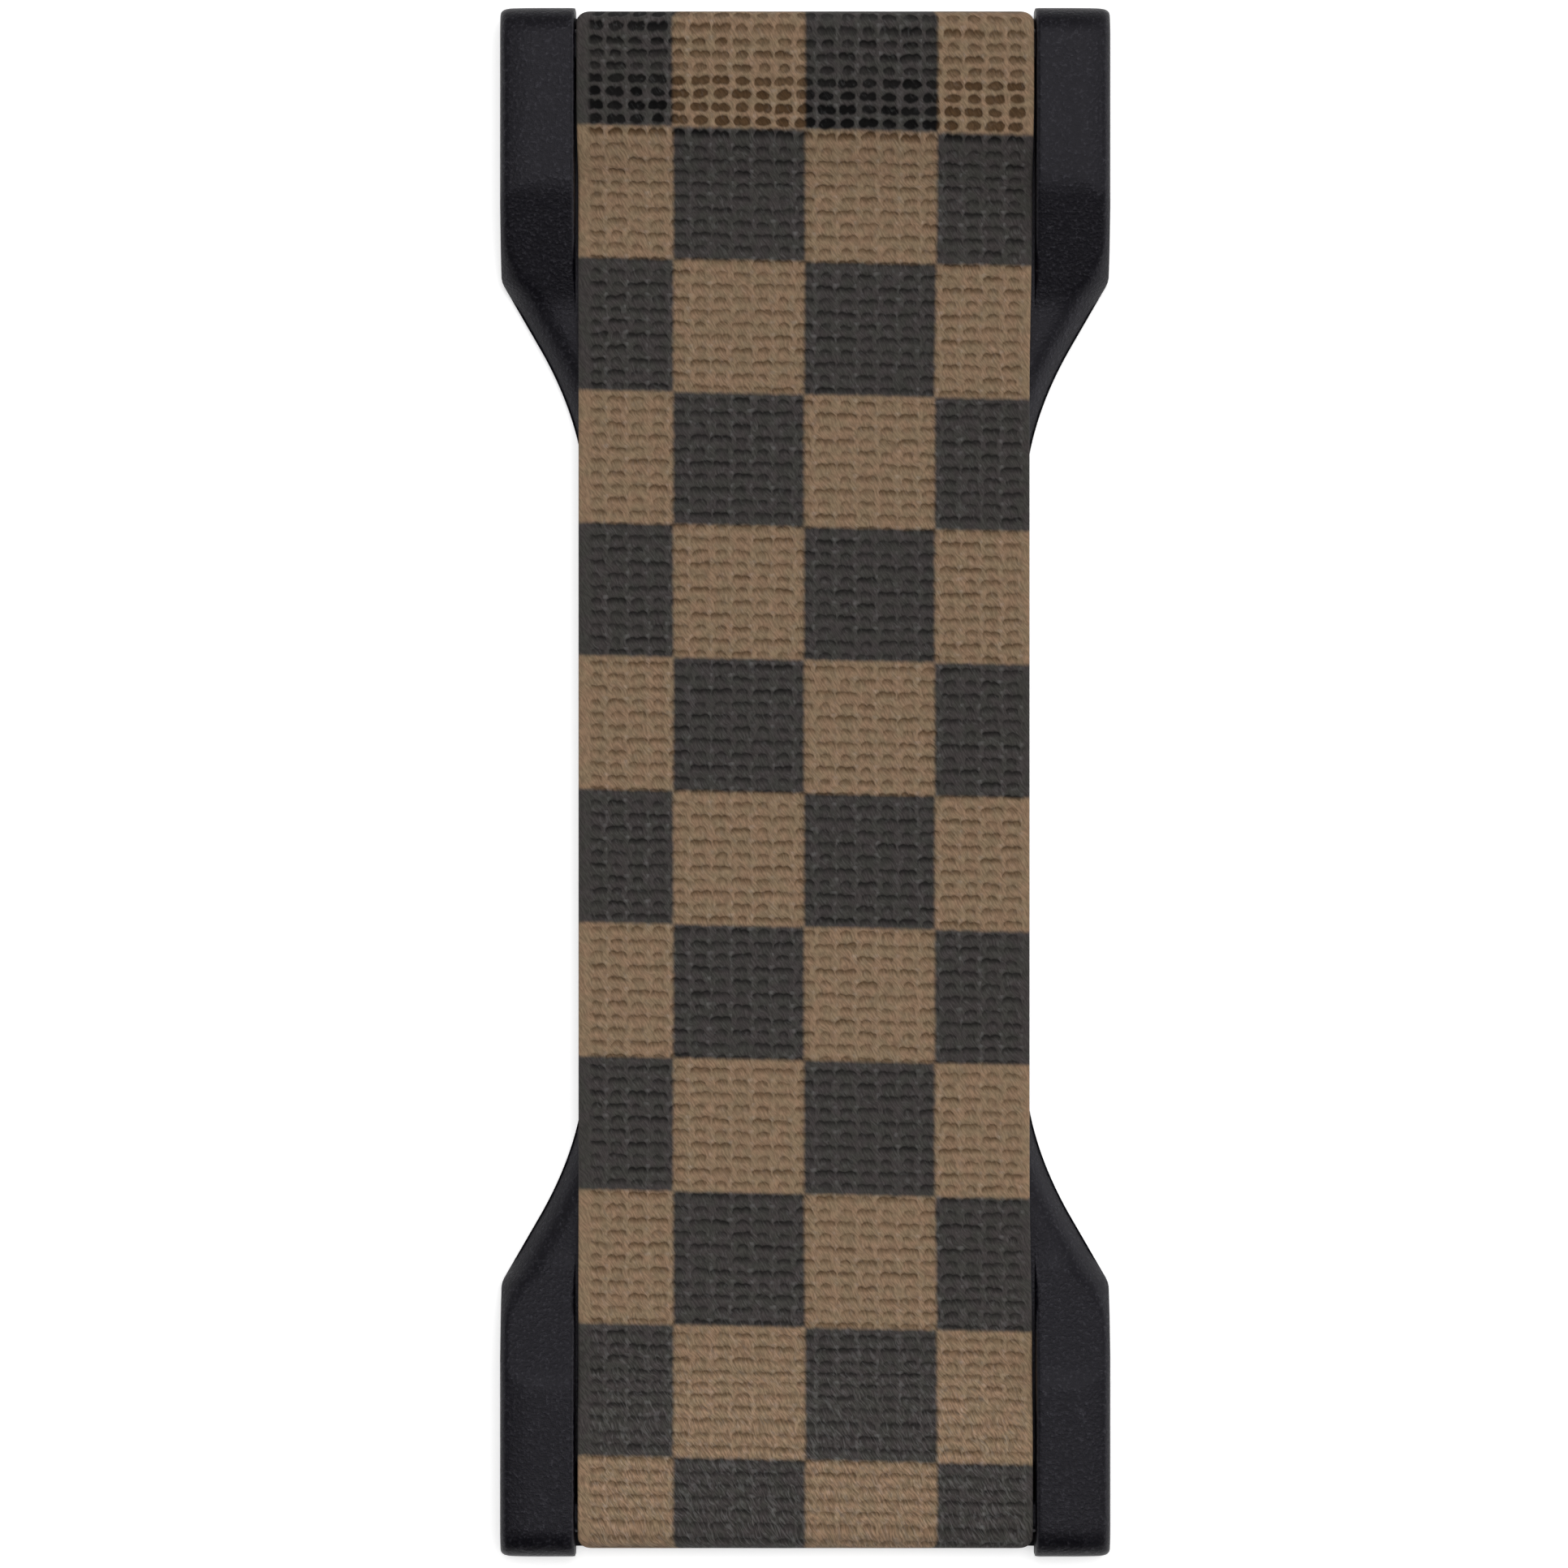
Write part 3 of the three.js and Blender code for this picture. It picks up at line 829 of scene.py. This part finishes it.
def weave(tree, across_value, along_value, row_size, column_size):
    """The weave's hollows, warp ribs, knots and swells, as shares, at a place on the printed face."""
    place = place_at(tree, across_value, along_value)
    wander = drift(tree, place, wander_size)
    stray = drift(tree, place, stray_size)
    sway = drift(tree, place, sway_size)
    far = calc(tree, "DIVIDE", along_value, MM)
    eased = spread(tree, soft(tree, far, *easing_rows), 1.0, opened_at_bar)
    opened = times(tree, soft(tree, far, *opening_rows), eased)
    corner = times(tree, soft(tree, across_value, *corner_across), soft(tree, far, *corner_rows))
    opened = calc(tree, "MAXIMUM", opened, times(tree, corner, corner_opened))
    patches = soft(tree, noise(tree, place, patch_size), *patch_edge)
    opened = times(tree, opened, spread(tree, patches, *patch_opened))
    tight = soft(tree, far, *tight_rows)

    # The grid repeats every three columns and two rows: a wide hollow in two columns, then in one
    row = plus(tree, calc(tree, "DIVIDE", along_value, row_size), row_start)
    row = minus(tree, row, times(tree, soft(tree, far, *pulled_rows), rows_lost))
    row = plus(tree, row, times(tree, wander, row_wander))
    row = plus(tree, row, times(tree, stray, row_stray))
    row_number = calc(tree, "FLOOR", row)
    up = minus(tree, row, row_number)
    column = plus(tree, calc(tree, "DIVIDE", across_value, column_size), 0.5)
    column = plus(tree, column, times(tree, plus(tree, stray, sway), column_stray))
    column_number = calc(tree, "FLOOR", column)
    sideways = minus(tree, minus(tree, column, column_number), 0.5)
    off_centre = calc(tree, "ABSOLUTE", sideways)
    odd_row = calc(tree, "FLOORED_MODULO", row_number, 2)
    lone = calc(tree, "LESS_THAN", calc(tree, "FLOORED_MODULO", column_number, 3), 0.5)
    wide = minus(tree, 1, calc(tree, "ABSOLUTE", minus(tree, odd_row, lone)))
    chance = tree.nodes.new("ShaderNodeTexWhiteNoise")
    chance.noise_dimensions = "2D"
    tree.links.new(place_at(tree, column_number, row_number), chance.inputs["Vector"])
    luck = chance.outputs["Value"]

    # A wide hollow has two lobes under its arched brow, and a narrow one has a single lobe
    half_wide = spread(tree, wide, *hollow_half)
    half_wide = plus(tree, half_wide, times(tree, opened, spread(tree, wide, *hollow_half_opened)))
    half_wide = plus(tree, half_wide, times(tree, tight, spread(tree, wide, *hollow_half_tight)))
    share = calc(tree, "DIVIDE", off_centre, half_wide)
    inside = soft(tree, share, *hollow_side)
    single = minus(tree, 1, times(tree, share, share))
    lobe = minus(tree, times(tree, share, 2), 1)
    lobe = calc(tree, "MAXIMUM", lobe, times(tree, lobe, lobe_lean))
    double = minus(tree, 1, times(tree, lobe, lobe))
    arch = plus(tree, single, times(tree, wide, minus(tree, double, single)))
    brow = times(tree, arch, spread(tree, opened, *brow_rise))
    brow = plus(tree, brow, spread(tree, opened, *brow_height))
    below = minus(tree, brow, up)
    edge = soft(tree, below, *brow_edge)

    # It is deepest under its brow and runs out below; an opened one is deep down to its sill
    fade = calc(tree, "DIVIDE", calc(tree, "MAXIMUM", below, least_below), hollow_reach)
    fade = calc(tree, "MAXIMUM", minus(tree, 1, fade), 0)
    filled = soft(tree, plus(tree, up, times(tree, arch, opened_sill_arch)), *opened_sill)
    fade = plus(tree, fade, times(tree, opened, minus(tree, filled, fade)))
    narrow = spread(tree, opened, *narrow_depth)
    depth = plus(tree, narrow, times(tree, wide, minus(tree, 1.0, narrow)))
    depth = times(tree, depth, spread(tree, luck, *luck_depth))
    depth = times(tree, depth, spread(tree, opened, *opened_depth))
    depth = calc(tree, "MINIMUM", depth, spread(tree, luck, *most_depth))
    depth = times(tree, depth, spread(tree, tight, *tight_depth))
    hollow = times(tree, times(tree, edge, fade), times(tree, inside, depth))

    to_rib = minus(tree, 0.5, off_centre)
    uneven = plus(tree, luck, times(tree, sway, unevenness))
    rib = times(tree, soft(tree, to_rib, *rib_across), near(tree, up, rib_row, *rib_along))
    rib = times(tree, rib, soft(tree, uneven, *rib_luck))
    knot = times(tree, near(tree, up, knot_row, *knot_along), soft(tree, to_rib, *knot_across))
    knot = times(tree, knot, soft(tree, uneven, *knot_luck))
    swell = times(tree, near(tree, up, swell_row, *swell_along), tight)
    swell = times(tree, swell, spread(tree, luck, *swell_luck))
    return hollow, rib, knot, swell


left_selvedge = (0.6 * MM, 0.95 * MM)
right_selvedge = (0.25 * MM, 0.6 * MM)


def within_selvedges(tree, across_value):
    """1 on the woven field and 0 on the smooth selvedges; the left one is the wider."""
    left = soft(tree, across_value, *[-strap_half + inset for inset in left_selvedge])
    right = soft(tree, across_value, *[strap_half - inset for inset in right_selvedge])
    return times(tree, left, right)


# The relief lifts and sinks the printed face, and fades out before the bar's outermost point
turn_fade = (-0.5 * MM, -1.4 * MM)
weaving = bpy.data.node_groups.new("weave_relief", "GeometryNodeTree")
sockets = weaving.interface
sockets.new_socket("Geometry", in_out="INPUT", socket_type="NodeSocketGeometry")
for name, value in {
    "Row pitch": row_pitch,
    "Column pitch": column_pitch,
    "Pit depth": 0.17 * MM,
    "Rib height": 0.02 * MM,
    "Knot height": 0.045 * MM,
    "Swell height": 0.05 * MM,
}.items():
    sockets.new_socket(name, in_out="INPUT", socket_type="NodeSocketFloat").default_value = value
sockets.new_socket("Elastic", in_out="INPUT", socket_type="NodeSocketMaterial")
sockets.new_socket("Geometry", in_out="OUTPUT", socket_type="NodeSocketGeometry")
given = weaving.nodes.new("NodeGroupInput")
result = weaving.nodes.new("NodeGroupOutput")


def stored(tree, name):
    """A number that the mesh carries for each point."""
    node = tree.nodes.new("GeometryNodeInputNamedAttribute")
    node.data_type = "FLOAT"
    node.inputs["Name"].default_value = name
    return node.outputs["Attribute"]


hollow, rib, knot, swell = weave(
    weaving,
    stored(weaving, "across"),
    stored(weaving, "along"),
    given.outputs["Row pitch"],
    given.outputs["Column pitch"],
)
sunk = times(weaving, hollow, given.outputs["Pit depth"])
raised = times(weaving, rib, given.outputs["Rib height"])
raised = plus(weaving, raised, times(weaving, knot, given.outputs["Knot height"]))
raised = plus(weaving, raised, times(weaving, swell, given.outputs["Swell height"]))
in_field = within_selvedges(weaving, stored(weaving, "across"))
relief = times(weaving, minus(weaving, raised, sunk), in_field)
relief = times(weaving, relief, stored(weaving, "printed"))
from_edge = minus(weaving, calc(weaving, "ABSOLUTE", stored(weaving, "along")), strap_turn)
relief = times(weaving, relief, soft(weaving, from_edge, *turn_fade))
normal = weaving.nodes.new("GeometryNodeInputNormal")
push = weaving.nodes.new("ShaderNodeVectorMath")
push.operation = "SCALE"
weaving.links.new(normal.outputs["Normal"], push.inputs[0])
weaving.links.new(relief, push.inputs["Scale"])
shift = weaving.nodes.new("GeometryNodeSetPosition")
weaving.links.new(given.outputs["Geometry"], shift.inputs["Geometry"])
weaving.links.new(push.outputs[0], shift.inputs["Offset"])
plain = weaving.nodes.new("GeometryNodeRealizeInstances")
weaving.links.new(shift.outputs["Geometry"], plain.inputs["Geometry"])
finish = weaving.nodes.new("GeometryNodeSetMaterial")
weaving.links.new(plain.outputs["Geometry"], finish.inputs["Geometry"])
weaving.links.new(given.outputs["Elastic"], finish.inputs["Material"])
weaving.links.new(finish.outputs["Geometry"], result.inputs["Geometry"])

elastic = bpy.data.materials.new("printed_elastic")
elastic.use_nodes = True
cloth = elastic.node_tree
cloth_skin = cloth.nodes["Principled BSDF"]
cloth_skin.inputs["Roughness"].default_value = 0.85
cloth_skin.inputs["Specular IOR Level"].default_value = 0.15
cloth_skin.inputs["Sheen Weight"].default_value = 0.03
cloth_skin.inputs["Sheen Roughness"].default_value = 0.5


def painted(name):
    """A number that the mesh carries for each point, as the material reads it."""
    node = cloth.nodes.new("ShaderNodeAttribute")
    node.attribute_name = name
    return node.outputs["Fac"]


# The print: squares of two inks, slightly soft at their edges, and crept along by the pull
check_width = 8.2 * MM
check_middle = 0.0
check_length = 8.32 * MM
check_shift = -0.80 * MM
check_crept = 0.26 * MM
check_edge = 0.065
crept_run = (8 * MM, 44 * MM)
bleed_size = 0.5 * MM
bleed_reach = 0.09
tan_inks = ((0.193, 0.137, 0.084, 1), (0.212, 0.137, 0.086, 1))
dark_inks = ((0.040, 0.038, 0.034, 1), (0.043, 0.037, 0.036, 1))
# Painted shade colours for the weave's hollows, on the tan squares and on the dark ones
pit_shade_inks = ((0.068, 0.038, 0.018, 1), (0.003, 0.0028, 0.0028, 1))
plain_back = (0.035, 0.032, 0.030, 1)
cloth_across = painted("across")
cloth_along = painted("along")
hollow, rib, knot, swell = weave(cloth, cloth_across, cloth_along, row_pitch, column_pitch)
cloth_place = place_at(cloth, cloth_across, cloth_along)
bleed = times(cloth, drift(cloth, cloth_place, bleed_size), bleed_reach)


def stripes(value, pitch, start):
    """1 and 0 in turn, each for one pitch, with the print's soft and uneven edge."""
    turns = calc(cloth, "DIVIDE", minus(cloth, value, start), pitch)
    wave = calc(cloth, "SINE", times(cloth, turns, math.pi))
    return soft(cloth, plus(cloth, wave, bleed), -check_edge, check_edge)


in_columns = stripes(cloth_across, check_width, check_middle)
crept = times(cloth, soft(cloth, cloth_along, *crept_run), check_crept)
in_rows = stripes(plus(cloth, cloth_along, crept), check_length, check_shift)
both = times(cloth, in_columns, in_rows)
dark = minus(cloth, plus(cloth, in_columns, in_rows), times(cloth, both, 2))


def blend(share, first, second):
    """The first colour where the share is 0 and the second where it is 1."""
    node = cloth.nodes.new("ShaderNodeMix")
    node.data_type = "RGBA"
    for name, value in (("Factor", share), ("A", first), ("B", second)):
        socket = node.inputs[name]
        if isinstance(value, tuple):
            socket.default_value = value
        else:
            cloth.links.new(value, socket)
    return node.outputs["Result"]


warm_size = 1.1 * MM
warm_edge = (0.35, 0.65)
warm = soft(cloth, noise(cloth, cloth_place, warm_size, detail=3.0), *warm_edge)
printed_ink = blend(dark, blend(warm, *tan_inks), blend(warm, *dark_inks))
face_ink = blend(painted("printed"), plain_back, printed_ink)
in_field = times(cloth, within_selvedges(cloth, cloth_across), painted("printed"))

# Loose fibres lie across the yarns, from upper left to lower right, and show most near the near end
fibre_size = 0.1 * MM
fibre_length = 5.0
fibre_angle = math.radians(-58)
fibre_bend = 0.5 * MM
fibre_bend_size = 1.2 * MM
fibre_turn = cloth.nodes.new("ShaderNodeMapping")
fibre_turn.vector_type = "TEXTURE"
fibre_turn.inputs["Rotation"].default_value = (0, 0, fibre_angle)
fibre_turn.inputs["Scale"].default_value = (fibre_length, 1.0, 1.0)
fibre_warp = cloth.nodes.new("ShaderNodeVectorMath")
fibre_warp.operation = "MULTIPLY_ADD"
fibre_drift = cloth.nodes.new("ShaderNodeTexNoise")
fibre_drift.inputs["Scale"].default_value = 1 / fibre_bend_size
cloth.links.new(cloth_place, fibre_drift.inputs["Vector"])
cloth.links.new(fibre_drift.outputs["Color"], fibre_warp.inputs[0])
fibre_warp.inputs[1].default_value = (fibre_bend, fibre_bend, 0)
cloth.links.new(cloth_place, fibre_warp.inputs[2])
cloth.links.new(fibre_warp.outputs[0], fibre_turn.inputs["Vector"])
fibre = noise(cloth, fibre_turn.outputs[0], fibre_size)

# How much lighter or darker each of these makes the ink; the lightening on the swells is a painted
# highlight on their tops
yarn_size = 0.45 * MM
yarn_shade = (0.9, 1.18)
fibre_edge = (0.34, 0.66)
fibre_shade = (0.42, 0.62)
swell_painted_light = (1.0, 1.14)
length_shade = (0.96, 1.06)
near_run = (-26 * MM, -46 * MM)
length_run = (48 * MM, -48 * MM)
yarn_tone = noise(cloth, cloth_place, yarn_size, detail=4.0)
near_end = soft(cloth, cloth_along, *near_run)
fibre_swing = minus(cloth, soft(cloth, fibre, *fibre_edge), 0.5)
fibre_swing = times(cloth, fibre_swing, spread(cloth, near_end, *fibre_shade))
shade = times(cloth, spread(cloth, yarn_tone, *yarn_shade), plus(cloth, fibre_swing, 1.0))
# Painted highlight: the swells' tops are made lighter
shade = times(cloth, shade, spread(cloth, swell, *swell_painted_light))
# The face is a little darker toward its far end and a little lighter toward its near end
shade = times(cloth, shade, spread(cloth, soft(cloth, cloth_along, *length_run), *length_shade))
# Painted shade: the ink turns toward the darker shade colour where the weave's hollows are deep
pit_shade_share = 0.85
painted_pit_shade = times(cloth, times(cloth, hollow, in_field), pit_shade_share)
shaded = cloth.nodes.new("ShaderNodeVectorMath")
shaded.operation = "SCALE"
cloth.links.new(blend(painted_pit_shade, face_ink, blend(dark, *pit_shade_inks)), shaded.inputs[0])
cloth.links.new(shade, shaded.inputs["Scale"])

# Painted highlights, added to the colour: bare yarn glints on the knots and ribs, and single hairs glint
# where they cross the face
knot_painted_glint = 0.04
rib_painted_glint = 0.008
hair_painted_glint = (0.017, 0.036)
hair_size = 0.32 * MM
hair_width = (0.05, 0.01)
hair_patch_size = 0.6 * MM
hair_patch_edge = (0.48, 0.62)
hairs_near_end = 0.1
painted_glint = plus(cloth, times(cloth, knot, knot_painted_glint), times(cloth, rib, rib_painted_glint))
hair = near(cloth, noise(cloth, fibre_turn.outputs[0], hair_size, detail=1.0), 0.5, *hair_width)
hair_here = noise(cloth, cloth_place, hair_patch_size)
hair_here = plus(cloth, hair_here, times(cloth, near_end, hairs_near_end))
hair = times(cloth, hair, soft(cloth, hair_here, *hair_patch_edge))
painted_glint = plus(cloth, painted_glint, times(cloth, hair, spread(cloth, near_end, *hair_painted_glint)))
painted_glint = times(cloth, painted_glint, in_field)
lit = cloth.nodes.new("ShaderNodeVectorMath")
lit.operation = "ADD"
cloth.links.new(shaded.outputs[0], lit.inputs[0])
cloth.links.new(painted_glint, lit.inputs[1])
cloth.links.new(lit.outputs[0], cloth_skin.inputs["Base Color"])
fibre_height = 0.03 * MM
hollow_height = 0.08 * MM
fibre_bump = cloth.nodes.new("ShaderNodeBump")
fibre_bump.inputs["Strength"].default_value = 0.7
fibre_bump.inputs["Distance"].default_value = fibre_height
cloth.links.new(fibre, fibre_bump.inputs["Height"])
hollow_bump = cloth.nodes.new("ShaderNodeBump")
hollow_bump.invert = True
hollow_bump.inputs["Strength"].default_value = 0.6
hollow_bump.inputs["Distance"].default_value = hollow_height
cloth.links.new(times(cloth, hollow, in_field), hollow_bump.inputs["Height"])
cloth.links.new(fibre_bump.outputs["Normal"], hollow_bump.inputs["Normal"])
cloth.links.new(hollow_bump.outputs["Normal"], cloth_skin.inputs["Normal"])

strap_mesh.shade_smooth()
weaver = strap.modifiers.new("weave", "NODES")
weaver.node_group = weaving
slot_of = {item.name: item.identifier for item in weaving.interface.items_tree if item.in_out == "INPUT"}
weaver[slot_of["Elastic"]] = elastic
bpy.context.view_layer.update()
woven = bpy.data.meshes.new_from_object(strap.evaluated_get(bpy.context.evaluated_depsgraph_get()))
strap.modifiers.clear()
strap.data = woven
woven.name = "woven_strap"
woven.shade_smooth()
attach(strap, "root")
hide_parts("elastic_strap")
